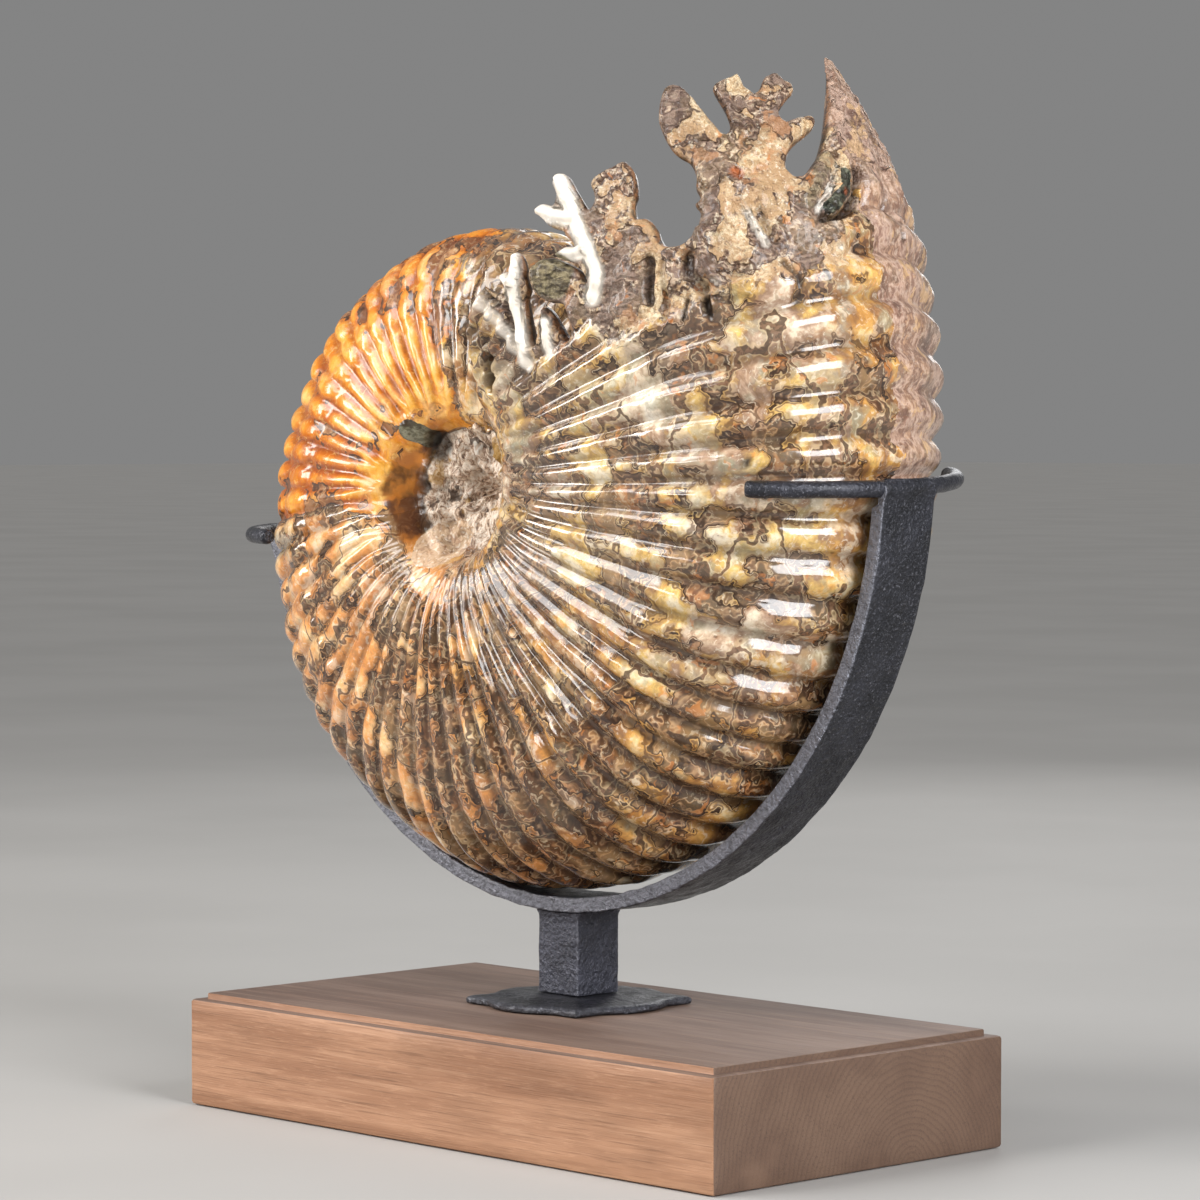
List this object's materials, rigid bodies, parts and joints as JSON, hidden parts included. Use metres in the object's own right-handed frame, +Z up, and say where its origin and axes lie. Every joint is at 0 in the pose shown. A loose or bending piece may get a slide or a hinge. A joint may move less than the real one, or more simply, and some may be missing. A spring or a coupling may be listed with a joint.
{
  "type": "fossil ammonite on a cradle stand",
  "caption": "Polished ribbed fossil ammonite with a frilled broken end, resting upright in an iron half-ring cradle on a wooden block, for display.",
  "frame": {"origin": "centre of the wooden block's underside", "axes": "+Z up, +X along the block's long side (right in the picture's front view), +Y to the back; the coil axis of the shell is along Y and its shown flank faces -Y"},
  "size_m": [0.3883, 0.1802, 0.4545],
  "materials": {
    "fossil": "high polish over calcite, cream to amber and dark brown with dark frilled suture lines; matte on the broken end",
    "iron": "blackened, hammered, satin, ground brighter on the front edge",
    "wood": "matte waxed hardwood, greyish tan",
    "zinc": "zinc-plated steel"
  },
  "bodies": {
    "root": {"ammonite": "fossil", "cradle_strap": "iron", "right_yoke": "iron", "left_yoke": "iron", "post": "iron", "foot_plate": "iron", "wood_base": "wood", "fixing_bolt": "zinc", "bolt_washer": "zinc"}
  },
  "joints": []
}
